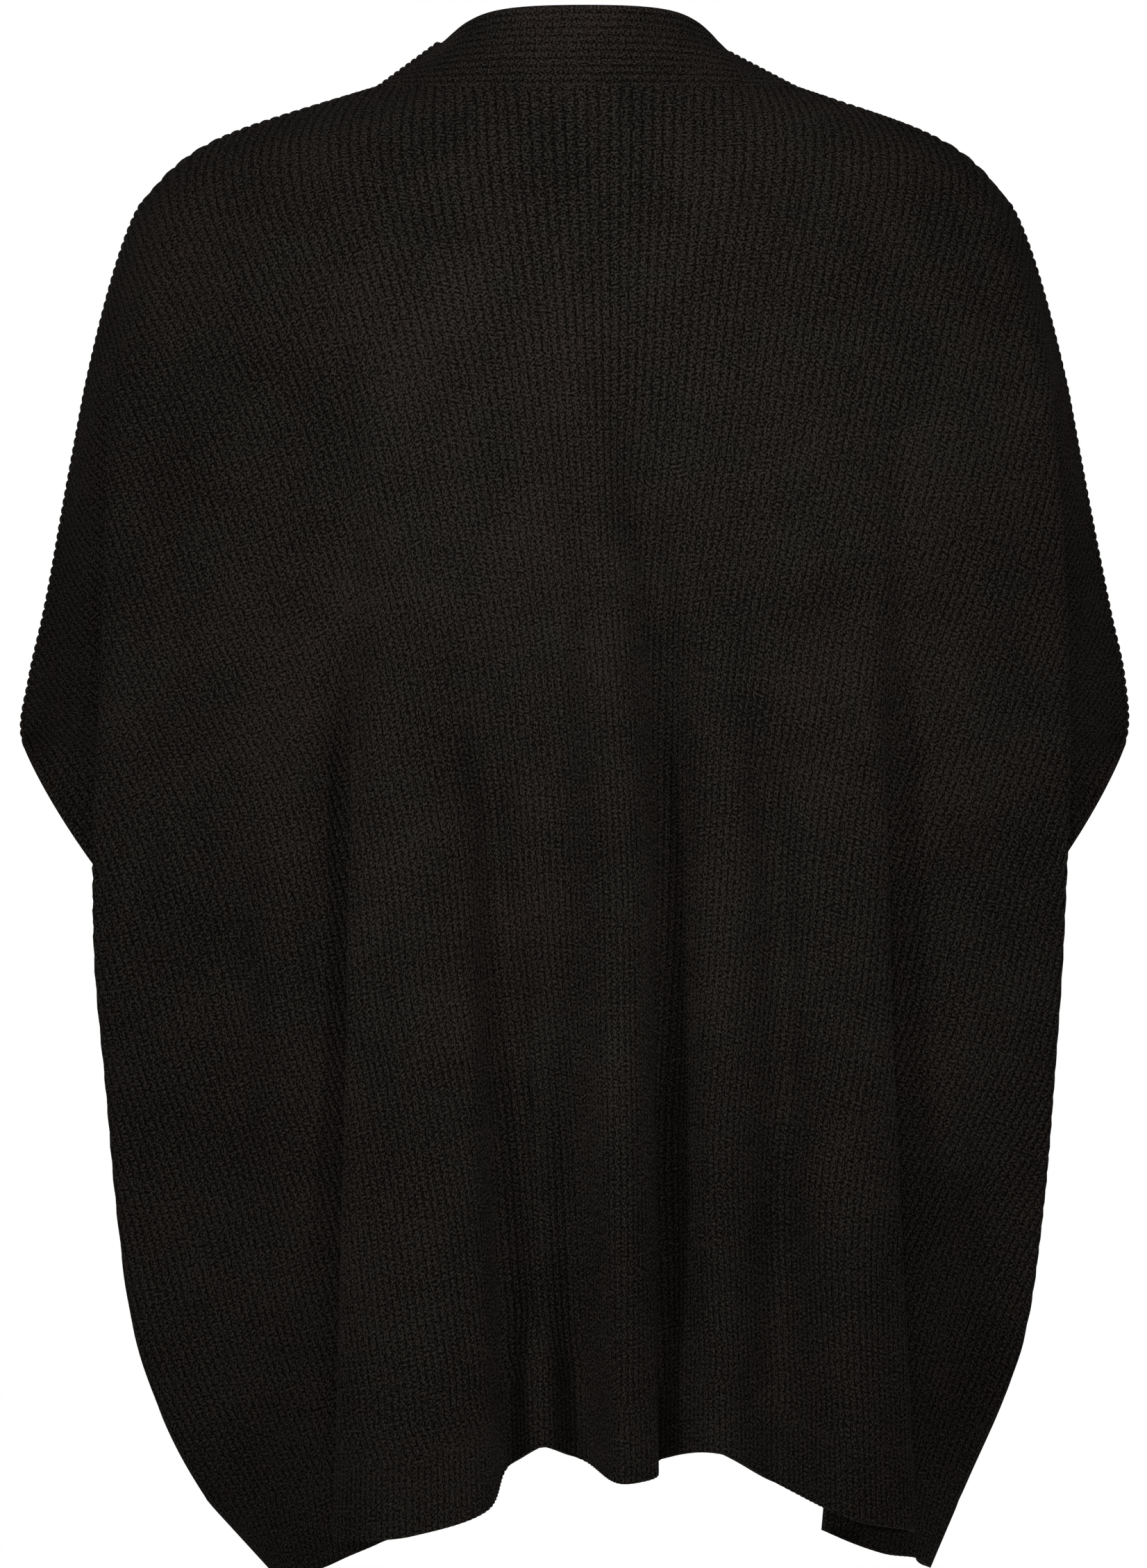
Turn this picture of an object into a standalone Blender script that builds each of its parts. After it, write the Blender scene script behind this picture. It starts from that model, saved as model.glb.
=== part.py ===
"""Open-front cardigan in rib knit, worn: a wide back and two fronts whose short sleeves are cut in one
with them, a standing rib band round the neck and down both fronts, and a finer rib at the hem.

The front faces -Y and the wearer's left is +X. The origin lies midway between the two points where the
neck seam meets the shoulders. All sizes below are in millimetres; the meshes are made in metres.
"""

from collections import namedtuple

import bmesh
import bpy
import numpy as np

MM = 0.001

# Cloth
WALL = 3.0
SEAM_GAP = 0.3
HEM_SEAM_GAP = 0.5
HEM_DEPTH = 40.0
HEM_RIB_PITCH = 3.5
HEM_RIB_HEIGHT = 0.9

# Neck and band
NECK_HALF_WIDTH = 113.0
NECK_BACK_DEPTH = 62.0
NECK_BACK_DROP = 5.8
NECK_ROUNDNESS = 2.2
BAND_WIDTH = 44.0
BAND_RIBS = 11
BAND_RIB_HEIGHT = 1.2
BAND_LEAN_BACK = np.radians(84.0)
BAND_LEAN_SHOULDER = {1: np.radians(26.0), -1: np.radians(17.0)}
BAND_LEAN_POWER = 2.2
BAND_ON_CHEST = (-0.97, -0.24, 0.0)
BAND_TURN_LENGTH = 110.0

# Shoulders, from the neck to the tip, where the line turns down the arm
TIP = {1: 237.0, -1: 225.0}
SHOULDER_SLOPE = 0.30
TIP_DROP = 22.0
TIP_ROUNDNESS = 6

# Yoke: from the neck and shoulder line down to where the cloth hangs
YOKE_CENTRE = 140.0
YOKE_SIDE = 165.0
YOKE_FRONT_EDGE = 130.0
YOKE_ROWS = (0.0, 0.134, 0.384, 0.69)
ARM_BULGE = 0.65
NECK_TO_BACK_ROUNDNESS = 1.7
OVER_ARM_ROUNDNESS = 2.0
ARM_STARTS = 0.5
ARM_FULL = 1.1

# Below the yoke, a drop of 0 is its lower edge and 1 is the seam of the hem rib
SIDE_HEM_SEAM = 760.0
SIDE_HEM = 797.0
SLEEVE_END_DROP = 0.314
UNDERARM_DROP = 0.53
ARMHOLE_BULGE = 42.0
ARMHOLE_CONVEXITY = 7.0
ARMHOLE_STEPS = 6
HANG_ROWS = (0.0, 0.09, 0.2)
SKIRT_ROWS = (0.62, 0.74, 0.87, 1.0)
FOLDS_START = 0.10
FOLDS_FULL = 0.60
HEM_DROP = 1.07
PROFILE_ROUNDNESS = 2.6

# One row for each level of the hanging cloth, seen from above. edge: where the drape turns under at the
# side. valley: how far in that turn goes, below the arm. arm: the back of the sleeve. outer: the seam over
# the arm and, under the armhole, at the side. back and front: depth of the cloth at the middle.
SECTION_COLUMNS = (
    "drop edge_left edge_right edge_y valley_x valley_y arm_x arm_y outer_left outer_right outer_y back_y front_y"
).split()
SECTIONS = np.array(
    [
        (0.00, 254.0, 248.0, 45.0, 258.0, 36.0, 266.0, 20.0, 272.0, 261.0, -4.0, 108.0, -100.0),
        (0.09, 256.0, 252.0, 55.0, 241.0, 45.0, 265.0, 29.0, 282.0, 271.0, -5.0, 114.0, -120.0),
        (0.20, 258.0, 256.0, 62.0, 218.0, 47.0, 264.0, 36.0, 294.0, 284.0, -6.0, 117.0, -130.0),
        (0.26, 259.0, 256.5, 65.0, 208.0, 47.0, 263.0, 38.5, 302.0, 291.5, -6.5, 118.0, -132.5),
        (0.314, 260.5, 257.0, 67.0, 200.0, 46.0, 262.0, 40.0, 306.0, 292.5, -7.0, 118.0, -134.0),
        (0.422, 262.5, 255.0, 69.0, 196.0, 45.0, 236.0, 43.0, 260.0, 247.0, -8.0, 118.0, -134.0),
        (0.53, 261.0, 252.0, 68.0, 222.0, 38.0, 218.0, 13.0, 215.0, 206.0, -8.0, 118.0, -132.0),
        (0.62, 256.0, 248.5, 65.0, 231.0, 38.0, 222.0, 13.0, 218.0, 209.0, -8.0, 117.0, -130.0),
        (0.74, 250.0, 243.0, 59.0, 233.0, 35.0, 224.0, 11.0, 220.0, 211.0, -8.0, 115.0, -128.0),
        (0.87, 238.0, 231.0, 50.0, 227.0, 31.0, 220.0, 9.0, 217.0, 209.0, -8.0, 113.0, -126.0),
        (1.00, 203.0, 199.0, 39.0, 199.0, 24.0, 197.0, 7.0, 196.0, 192.0, -7.0, 111.0, -124.0),
        (1.07, 170.0, 184.0, 31.0, 168.0, 19.0, 167.0, 6.0, 167.0, 181.0, -6.0, 110.0, -122.0),
    ]
)

# One row for each ridge or trough that runs down the cloth. x_top: where it starts on the neck and
# shoulder line. x_yoke, x_mid, x_hem: its place at the yoke's lower edge, where the folds are full, and at
# the hem. y_mid, y_hem: its depth there. z_hem: the hem's height.
Fold = namedtuple("Fold", "name x_top x_yoke x_mid x_hem y_mid y_hem z_hem")
BACK_FOLDS = (
    Fold("side_left_outer", 172, 226, 226, 158, 86, 56, -796),
    Fold("side_left_trough", 143, 188, 187, 143, 96, 70, -794),
    Fold("side_left_ridge", NECK_HALF_WIDTH, 156, 155, 126, 110, 79, -786),
    Fold("left_flute_turn", 100, 134, 117, 107, 100, 84, -777),
    Fold("left_flute_edge", 88, 120, 126, 133, 114, 110, -775),
    Fold("left_flute_ridge", 70, 90, 93, 90, 128, 150, -768),
    Fold("left_flute_wall", 52, 66, 62, 52, 124, 128, -757),
    Fold("second_trough", 38, 48, 50, 40, 114, 92, -736),
    Fold("second_ridge", 24, 30, 31, 24, 119, 106, -726),
    Fold("third_trough", 10, 12, 12, 5, 115, 88, -733),
    Fold("middle_ridge", -5, -8, -18, -22, 130, 140, -742),
    Fold("middle_edge", -18, -22, -31, -36, 124, 126, -740),
    Fold("middle_turn", -30, -36, -39, -37, 113, 101, -734),
    Fold("fourth_ridge", -48, -62, -68, -70, 124, 134, -727),
    Fold("fourth_trough", -68, -96, -97, -101, 119, 112, -745),
    Fold("right_flute_ridge", -86, -128, -132, -137, 122, 142, -760),
    Fold("right_flute_edge", -100, -152, -160, -173, 108, 106, -770),
    Fold("right_flute_turn", -NECK_HALF_WIDTH, -166, -150, -127, 94, 82, -772),
    Fold("side_right_trough", -138, -200, -205, -158, 92, 66, -786),
    Fold("side_right_outer", -163, -226, -232, -176, 80, 50, -790),
)
FRONT_FOLDS = {
    1: (
        Fold("side_trough", 182, 222, 222, 160, -104, -66, -790),
        Fold("side_ridge", 162, 190, 188, 150, -122, -96, -778),
        Fold("middle_trough", 143, 162, 158, 136, -118, -98, -766),
        Fold("middle_ridge", 127, 132, 128, 118, -131, -124, -752),
        Fold("front_edge", NECK_HALF_WIDTH, 101, 97, 94, -128, -122, -742),
    ),
    -1: (
        Fold("side_trough", -173, -216, -218, -166, -106, -68, -788),
        Fold("side_ridge", -156, -186, -182, -150, -121, -92, -776),
        Fold("middle_trough", -140, -158, -152, -132, -120, -104, -764),
        Fold("middle_ridge", -126, -130, -125, -114, -130, -120, -750),
        Fold("front_edge", -NECK_HALF_WIDTH, -101, -97, -94, -128, -123, -740),
    ),
}
SIDE_LINES = ("edge", "valley", "arm", "outer")
SIDE_TOPS = {1: (200.0, 214.0, 226.0, TIP[1]), -1: (190.0, 203.0, 215.0, TIP[-1])}
STEPS_BETWEEN_LINES = 2

YARN = (0.0125, 0.012, 0.012, 1.0)
YARN_ROUGHNESS = 0.95


def unit(vectors):
    return vectors / np.linalg.norm(vectors, axis=-1, keepdims=True)


def ease(amount):
    amount = np.clip(amount, 0.0, 1.0)
    return amount * amount * (3.0 - 2.0 * amount)


def spline(knots, points, at):
    """The smooth curve that goes through points at knots, read at other knots."""
    column = (-1,) + (1,) * (points.ndim - 1)
    step = np.diff(knots).reshape(column)
    rate = np.diff(points, axis=0) / step
    inner = (rate[:-1] * step[1:] + rate[1:] * step[:-1]) / (step[:-1] + step[1:])
    slope = np.concatenate([rate[:1], inner, rate[-1:]])
    span = np.clip(np.searchsorted(knots, at, side="right") - 1, 0, len(knots) - 2)
    width = step[span]
    t = (np.asarray(at) - knots[span]).reshape(column) / width
    start, end = points[span], points[span + 1]
    bend_start = slope[span] * width
    bend_end = slope[span + 1] * width
    return (
        (1 + 2 * t) * (1 - t) ** 2 * start
        + t * (1 - t) ** 2 * bend_start
        + t * t * (3 - 2 * t) * end
        + t * t * (t - 1) * bend_end
    )


def section(column, drop):
    """A column of SECTIONS at any drop."""
    values = SECTIONS[:, SECTION_COLUMNS.index(column)]
    return float(spline(SECTIONS[:, 0], values, np.array([drop]))[0])


def top_line(x):
    """Neck seam between the shoulders, and the shoulder line beyond, seen as one line over x."""
    x = np.asarray(x, float)
    reach = np.abs(x)
    neck = np.clip(reach / NECK_HALF_WIDTH, 0.0, 1.0)
    round_neck = 1.0 - neck**NECK_ROUNDNESS
    y = NECK_BACK_DEPTH * round_neck
    tip = np.where(x > 0, TIP[1], TIP[-1])
    length = TIP[1] - NECK_HALF_WIDTH
    along = np.clip((reach - NECK_HALF_WIDTH) / (tip - NECK_HALF_WIDTH), 0.0, 1.0)
    z = -SHOULDER_SLOPE * length * along - TIP_DROP * along**TIP_ROUNDNESS - NECK_BACK_DROP * round_neck
    return np.stack([x, y, z], axis=-1)


def side_line(name, drop, side, face):
    """A point of one of the SIDE_LINES; side is 1 for left, face is 1 for the back."""
    edge_shift = section("edge_left", drop) - section("edge_right", drop)
    outer_shift = section("outer_left", drop) - section("outer_right", drop)
    seam_y = section("outer_y", drop)
    if name == "edge":
        x, y, shift = section("edge_left", drop), section("edge_y", drop), edge_shift
    elif name == "valley":
        x, y, shift = section("valley_x", drop), section("valley_y", drop), edge_shift
    elif name == "arm":
        x, y, shift = section("arm_x", drop), section("arm_y", drop), outer_shift
    else:
        x, y, shift = section("outer_left", drop), seam_y, outer_shift
    if side < 0:
        x -= shift
    if name == "outer" and SLEEVE_END_DROP < drop < UNDERARM_DROP:
        x, y = armhole_edge(drop, side)
    z = -YOKE_SIDE - (SIDE_HEM_SEAM - YOKE_SIDE) * drop
    if drop > 1.0:
        z = -SIDE_HEM
    return np.array([side * x, seam_y + face * (y - seam_y), z])


def armhole_edge(drop, side):
    """Half of the sleeve's opening: an arc from its end over the arm to the underarm."""
    column = "outer_left" if side > 0 else "outer_right"
    start, end = section(column, SLEEVE_END_DROP), section(column, UNDERARM_DROP)
    along = (drop - SLEEVE_END_DROP) / (UNDERARM_DROP - SLEEVE_END_DROP)
    x = start + (end - start) * along + ARMHOLE_CONVEXITY * 4.0 * along * (1.0 - along)
    y = section("outer_y", drop) + ARMHOLE_BULGE * 2.0 * np.sqrt(along * (1.0 - along))
    return x, y


def drape(x, drop, face):
    """Depth of the cloth at x before it folds: a flattened arch between its two edges."""
    edge_x = section("edge_left" if x > 0 else "edge_right", drop)
    edge = side_line("edge", drop, 1, face)[1]
    middle = section("back_y" if face > 0 else "front_y", drop)
    arch = 1.0 - min(abs(x) / edge_x, 1.0) ** PROFILE_ROUNDNESS
    return edge + (middle - edge) * arch


def fold_line(fold, drop, face):
    """A point of one ridge or trough of the hanging cloth."""
    yoke_z = -YOKE_CENTRE - (YOKE_SIDE - YOKE_CENTRE) * (fold.x_yoke / section("edge_left", 0.0)) ** 2
    if fold.name == "front_edge":
        yoke_z = -YOKE_FRONT_EDGE
    hem_seam_z = fold.z_hem + HEM_DEPTH
    z = fold.z_hem if drop > 1.0 else yoke_z + (hem_seam_z - yoke_z) * drop
    plain = np.array([fold.x_yoke, drape(fold.x_yoke, drop, face), z])
    fall = max(0.0, (drop - FOLDS_FULL) / (HEM_DROP - FOLDS_FULL))
    x = fold.x_mid + (fold.x_hem - fold.x_mid) * fall
    y = fold.y_mid + (fold.y_hem - fold.y_mid) * fall
    folded = np.array([x, y, z])
    grown = ease((drop - FOLDS_START) / (FOLDS_FULL - FOLDS_START))
    return plain + (folded - plain) * grown


def control_row(folds, sides, drop, face):
    """The points of all lines at one drop, in order across the panel."""
    middle = [fold_line(fold, drop, face) for fold in folds]
    row = list(middle)
    for side in sides:
        flank = [side_line(name, drop, side, face) for name in SIDE_LINES]
        row = flank[::-1] + row if side > 0 else row + flank
    return np.array(row)


def subdivided(row):
    """Points along the smooth curve through a row, STEPS_BETWEEN_LINES to each gap."""
    length = np.concatenate([[0.0], np.cumsum(np.linalg.norm(np.diff(row, axis=0), axis=1))])
    part = np.arange((len(row) - 1) * STEPS_BETWEEN_LINES + 1) / STEPS_BETWEEN_LINES
    return spline(length, row, np.interp(part, np.arange(len(row)), length))


def top_row(folds, sides):
    """The panel's upper edge: neck seam and shoulder line."""
    tops = [fold.x_top for fold in folds]
    for side in sides:
        flank = [side * x for x in SIDE_TOPS[side]]
        tops = flank[::-1] + tops if side > 0 else tops + flank
    part = np.arange((len(tops) - 1) * STEPS_BETWEEN_LINES + 1) / STEPS_BETWEEN_LINES
    return top_line(np.interp(part, np.arange(len(tops)), tops))


def yoke_row(top, hang, part, face):
    """A row part of the way from the upper edge to the yoke's lower edge."""
    arm = ease((np.abs(top[:, 0]) / NECK_HALF_WIDTH - ARM_STARTS) / (ARM_FULL - ARM_STARTS))
    if face < 0:
        arm = np.ones(len(top))
    roundness = NECK_TO_BACK_ROUNDNESS + (OVER_ARM_ROUNDNESS - NECK_TO_BACK_ROUNDNESS) * arm
    outward = (1.0 - (1.0 - part) ** roundness) ** (1.0 / (1.0 + arm))
    row = top + (hang - top) * part
    row[:, 0] = top[:, 0] + (hang[:, 0] - top[:, 0]) * part**ARM_BULGE
    row[:, 1] = top[:, 1] + (hang[:, 1] - top[:, 1]) * outward
    return row


def drops():
    """The drops of all rows under the yoke; the armhole's follow its arc."""
    angle = np.pi * np.arange(ARMHOLE_STEPS + 1) / ARMHOLE_STEPS
    armhole = SLEEVE_END_DROP + (UNDERARM_DROP - SLEEVE_END_DROP) * (1.0 - np.cos(angle)) / 2.0
    return np.concatenate([HANG_ROWS, armhole, SKIRT_ROWS, [HEM_DROP]])


def panel(folds, sides, face):
    """Outer points of a panel with its hem rib, as rows from top to hem and columns from left to right."""
    hanging = [subdivided(control_row(folds, sides, drop, face)) for drop in drops()]
    top = top_row(folds, sides)
    yoke = [yoke_row(top, hanging[0], part, face) for part in YOKE_ROWS[1:]]
    return np.array([top] + yoke + hanging)


def normals_of(grid, face):
    """Outward direction at each point of a panel's grid."""
    down = np.gradient(grid, axis=0)
    across = np.gradient(grid, axis=1)
    return face * unit(np.cross(down, across))


def seam_normals(line, side):
    """Directions away from the body along a shoulder or side seam, all in the plane that faces the front."""
    along = np.gradient(line, axis=0)
    return unit(side * np.stack([-along[:, 2], 0.0 * along[:, 1], along[:, 0]], axis=-1))


def close_seams(grid, normals, side, face):
    """Turns a panel's rim square to the shoulder and side seams of one side, and parts it from its neighbour."""
    outer = 0 if side > 0 else -1
    rows = drops()
    first = len(YOKE_ROWS)
    end_row = first + int(np.searchsorted(rows, SLEEVE_END_DROP - 1e-6))
    under_row = first + int(np.searchsorted(rows, UNDERARM_DROP - 1e-6))
    on_shoulder = np.flatnonzero(side * grid[0, :, 0] >= NECK_HALF_WIDTH - 1e-6)
    inward_first = on_shoulder[::-1] if side > 0 else on_shoulder
    line = np.concatenate([grid[0, inward_first], grid[1 : end_row + 1, outer]])
    directions = seam_normals(line, side)
    normals[0, inward_first] = directions[: len(on_shoulder)]
    normals[1 : end_row + 1, outer] = directions[len(on_shoulder) :]
    normals[under_row:, outer] = seam_normals(grid[under_row:, outer], side)
    parted = face * SEAM_GAP / 2
    grid[0, inward_first, 1] += parted
    grid[1 : end_row + 1, outer, 1] += parted
    grid[under_row:, outer, 1] += parted


def neck_lean(x):
    """Direction in which the band stands on the back neck seam at x."""
    reach = abs(x) / NECK_HALF_WIDTH
    slope = -NECK_BACK_DEPTH * NECK_ROUNDNESS / NECK_HALF_WIDTH * reach ** (NECK_ROUNDNESS - 1.0)
    inward = unit(np.array([slope * np.sign(x), -1.0, 0.0]))
    shoulder_lean = BAND_LEAN_SHOULDER[1 if x > 0 else -1]
    lean = BAND_LEAN_BACK + (shoulder_lean - BAND_LEAN_BACK) * reach**BAND_LEAN_POWER
    return inward * np.cos(lean) + np.array([0.0, 0.0, np.sin(lean)])


def band_path(back, fronts):
    """The seam that the band is knitted on to, from the right hem over the neck to the left hem."""
    neck = np.flatnonzero(np.abs(back[0, :, 0]) <= NECK_HALF_WIDTH + 1e-6)
    over_neck = back[0, neck[::-1]]
    path = np.concatenate([fronts[-1][:0:-1, 0], over_neck, fronts[1][1:, -1]])
    first = len(fronts[-1]) - 1
    return path, first, first + len(neck) - 1


def band_directions(path, first, last):
    """Across the band at each point of its path, from its seam to its free edge."""
    step = np.linalg.norm(np.diff(path, axis=0), axis=1)
    length = np.concatenate([[0.0], np.cumsum(step)])
    along = unit(np.gradient(path, axis=0))
    across = np.empty_like(path)
    for i, point in enumerate(path):
        if first <= i <= last:
            across[i] = neck_lean(point[0])
            continue
        side = 1 if i > last else -1
        end = last if side > 0 else first
        turned = ease(abs(length[i] - length[end]) / BAND_TURN_LENGTH)
        chest = np.array(BAND_ON_CHEST) * (side, 1, 1)
        across[i] = neck_lean(side * NECK_HALF_WIDTH) * (1.0 - turned) + chest * turned
    across -= along * (across * along).sum(axis=1, keepdims=True)
    return unit(across), along


def band_rings(path, across, facing, rim):
    """Closed outlines of the band: ribs raised outside, a plain face of two strips inside."""
    steps = 2 * BAND_RIBS
    rings = []
    for i, point in enumerate(path):
        root = point + across[i] * SEAM_GAP
        ring = [root]
        for k in range(1, steps + 1):
            height = BAND_RIB_HEIGHT if k % 2 else 0.0
            ring.append(root + across[i] * BAND_WIDTH * k / steps + facing[i] * height)
        for part in (1.0, 0.5):
            ring.append(root + across[i] * BAND_WIDTH * part - facing[i] * WALL)
        ring.append(root - rim[i] * WALL)
        rings.append(ring)
    return np.array(rings)


def yarn(name):
    """Matt charcoal yarn."""
    material = bpy.data.materials.new(name)
    material.use_nodes = True
    shader = material.node_tree.nodes["Principled BSDF"]
    shader.inputs["Base Color"].default_value = YARN
    shader.inputs["Roughness"].default_value = YARN_ROUGHNESS
    shader.inputs["Metallic"].default_value = 0.0
    return material


def solid(name, points, faces):
    """A named object from points in millimetres."""
    mesh = bpy.data.meshes.new(name)
    mesh.from_pydata([tuple(point) for point in np.asarray(points) * MM], [], faces)
    mesh.validate()
    shape = bmesh.new()
    shape.from_mesh(mesh)
    bmesh.ops.recalc_face_normals(shape, faces=shape.faces)
    shape.to_mesh(mesh)
    shape.free()
    mesh.shade_smooth()
    mesh.set_sharp_from_angle(angle=np.radians(50.0))
    mesh.materials.append(yarn(name + "_yarn"))
    obj = bpy.data.objects.new(name, mesh)
    bpy.context.scene.collection.objects.link(obj)
    return obj


def ribbed(strip, normals):
    """A strip's points and normals at closer columns, and the height of the ribs there."""
    step = np.linalg.norm(np.diff(strip.mean(axis=0), axis=0), axis=1)
    ribs = np.maximum(1, np.round(step / HEM_RIB_PITCH)).astype(int)
    before = np.append(np.repeat(np.arange(len(step)), 2 * ribs), len(step) - 1)
    part = np.append(np.concatenate([np.arange(2 * n) / (2 * n) for n in ribs]), 1.0)[:, None]
    points = strip[:, before] * (1.0 - part) + strip[:, before + 1] * part
    facing = normals[:, before] * (1.0 - part) + normals[:, before + 1] * part
    height = HEM_RIB_HEIGHT * (np.arange(len(part)) % 2)
    return points, unit(facing), height[:, None]


def wall(name, outer, normals, relief=0.0):
    """A sheet of cloth: its outer points with their relief, a plain inside, and a rim between."""
    rows, columns = outer.shape[:2]
    count = rows * columns
    faces_of_cloth = (outer + normals * relief, outer - normals * WALL)
    points = np.concatenate([face.reshape(-1, 3) for face in faces_of_cloth])
    faces = []
    for i in range(rows - 1):
        for j in range(columns - 1):
            a, b = i * columns + j, (i + 1) * columns + j
            faces.append((a, b, b + 1, a + 1))
            faces.append((count + a, count + a + 1, count + b + 1, count + b))
    grid = np.arange(count).reshape(rows, columns)
    forward = list(grid[0]) + list(grid[1:, -1])
    backward = list(grid[:, 0]) + list(grid[-1, 1:])
    for a, b in zip(forward, forward[1:]):
        faces.append((a, b, count + b))
        faces.append((a, count + b, count + a))
    for a, b in zip(backward, backward[1:]):
        faces.append((a, count + b, b))
        faces.append((a, count + a, count + b))
    return solid(name, points, faces)


def tube(name, rings):
    """A solid through closed outlines, with flat ends."""
    count, sides = rings.shape[:2]
    faces = [tuple(range(sides))[::-1], tuple((count - 1) * sides + k for k in range(sides))]
    for i in range(count - 1):
        for k in range(sides):
            a, b = i * sides + k, i * sides + (k + 1) % sides
            faces.append((a, b, b + sides, a + sides))
    return solid(name, rings.reshape(-1, 3), faces)


def panel_and_hem(name, grid, normals):
    """One piece of the cardigan and the rib knitted on to its lower edge."""
    wall(name, grid[:-1], normals[:-1])
    hem = grid[-2:].copy()
    away = hem[1] - hem[0]
    for direction in (unit(np.gradient(hem[0], axis=0)), normals[-2]):
        away -= direction * (away * direction).sum(axis=1, keepdims=True)
    hem[0] += unit(away) * HEM_SEAM_GAP
    wall("hem_rib_" + name.replace("front_", ""), *ribbed(hem, normals[-2:]))


def clear_scene():
    for obj in list(bpy.data.objects):
        bpy.data.objects.remove(obj)


def main():
    clear_scene()
    back = panel(BACK_FOLDS, (1, -1), 1)
    fronts = {
        1: panel(FRONT_FOLDS[1], (1,), -1),
        -1: panel(FRONT_FOLDS[-1][::-1], (-1,), -1),
    }
    path, first, last = band_path(back, fronts)
    across, along = band_directions(path, first, last)
    facing = unit(np.cross(across, along))

    back_normals = normals_of(back, 1)
    front_normals = {side: normals_of(grid, -1) for side, grid in fronts.items()}
    for side in (1, -1):
        close_seams(back, back_normals, side, 1)
        close_seams(fronts[side], front_normals[side], side, -1)

    rim = facing.copy()
    neck = np.flatnonzero(np.abs(back[0, :, 0]) <= NECK_HALF_WIDTH + 1e-6)[::-1]
    rim[first : last + 1] += back_normals[0, neck]
    rim[:first] += front_normals[-1][:0:-1, 0]
    rim[last + 1 :] += front_normals[1][1:, -1]
    rim[[first, last], 1] = 0.0
    rim = unit(rim)
    back_normals[0, neck] = rim[first : last + 1]
    front_normals[-1][:, 0] = rim[first::-1]
    front_normals[1][:, -1] = rim[last:]

    panel_and_hem("back", back, back_normals)
    panel_and_hem("front_left", fronts[1], front_normals[1])
    panel_and_hem("front_right", fronts[-1], front_normals[-1])
    tube("band", band_rings(path, across, facing, rim))


main()
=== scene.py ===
"""Looks of the open-front cardigan: every piece of cloth as a thin rib-knit shell on its solid's form.

Control sizes are in millimetres, in the frame's axes (front -Y, wearer's left +X, up +Z), and the meshes
are made in metres. A panel's columns follow its ribs, so each rib is raised from the mesh itself.
"""

from collections import namedtuple

import bpy
import numpy as np
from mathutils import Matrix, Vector


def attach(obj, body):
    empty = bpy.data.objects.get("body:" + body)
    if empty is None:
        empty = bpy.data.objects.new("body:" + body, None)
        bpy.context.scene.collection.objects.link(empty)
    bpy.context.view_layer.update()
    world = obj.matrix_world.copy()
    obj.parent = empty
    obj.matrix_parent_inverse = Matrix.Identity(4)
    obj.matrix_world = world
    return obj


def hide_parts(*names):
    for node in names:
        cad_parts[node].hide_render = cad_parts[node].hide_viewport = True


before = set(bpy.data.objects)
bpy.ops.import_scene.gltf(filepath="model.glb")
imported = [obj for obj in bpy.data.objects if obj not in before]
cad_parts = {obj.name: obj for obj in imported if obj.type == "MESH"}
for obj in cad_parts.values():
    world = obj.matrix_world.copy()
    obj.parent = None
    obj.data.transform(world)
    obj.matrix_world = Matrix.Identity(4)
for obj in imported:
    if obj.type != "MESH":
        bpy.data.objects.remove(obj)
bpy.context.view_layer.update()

MM = 0.001

# Cloth. TUCK: how far a hem rib and the band go on under the next piece, with their faces at TUCK_OUTSIDE and
# TUCK_INSIDE there. SEAM_RELIEF: how high the ribs are at the hem seam, which they come down to over SEAM_ROW.
# SEAM_BLEND: the width over which the cloth turns square to a shoulder or side seam. SEAM_TURN_ROWS: the rows
# below the armhole over which that turn sets in.
WALL = 3.0
TUCK = 1.5
TUCK_OUTSIDE = -1.2
TUCK_INSIDE = -2.0
SEAM_GAP = 0.1
SEAM_BLEND = 14.0
SEAM_RELIEF = 0.1
SEAM_ROW = 6.0
SEAM_TURN_ROWS = 6.0

# Neck and band. BAND_LEAN: how steeply the band stands up from level, at the back of the neck and at each
# shoulder. BAND_ON_CHEST: the way its width points on the left front, once it has turned flat.
NECK_HALF_WIDTH = 113.0
NECK_BACK_DEPTH = 62.0
NECK_BACK_DROP = 5.8
NECK_ROUNDNESS = 2.2
BAND_WIDTH = 44.0
BAND_RIBS = 11
BAND_LEAN_BACK = np.radians(84.0)
BAND_LEAN_SHOULDER = {1: np.radians(26.0), -1: np.radians(17.0)}
BAND_LEAN_POWER = 2.2
BAND_ON_CHEST = (-0.97, -0.24, 0.0)
BAND_TURN_LENGTH = 110.0
BAND_STEP = 4.0
BAND_SMOOTHING = 9.0

# Shoulders and yoke
TIP = {1: 237.0, -1: 225.0}
SHOULDER_SLOPE = 0.30
TIP_DROP = 22.0
TIP_ROUNDNESS = 6
YOKE_CENTRE = 140.0
YOKE_SIDE = 165.0
YOKE_FRONT_EDGE = 130.0
ARM_BULGE = 0.65
NECK_TO_BACK_ROUNDNESS = 1.7
OVER_ARM_ROUNDNESS = 2.0
ARM_STARTS = 0.5
ARM_FULL = 1.1

# Below the yoke, a drop of 0 is its lower edge and 1 is the seam of the hem rib
SIDE_HEM_SEAM = 760.0
SIDE_HEM = 797.0
SLEEVE_END_DROP = 0.314
UNDERARM_DROP = 0.53
ARMHOLE_BULGE = 42.0
ARMHOLE_CONVEXITY = 7.0
FOLDS_START = 0.10
FOLDS_FULL = 0.60
HEM_DEPTH = 40.0
HEM_DROP = 1.07
PROFILE_ROUNDNESS = 2.6

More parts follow.
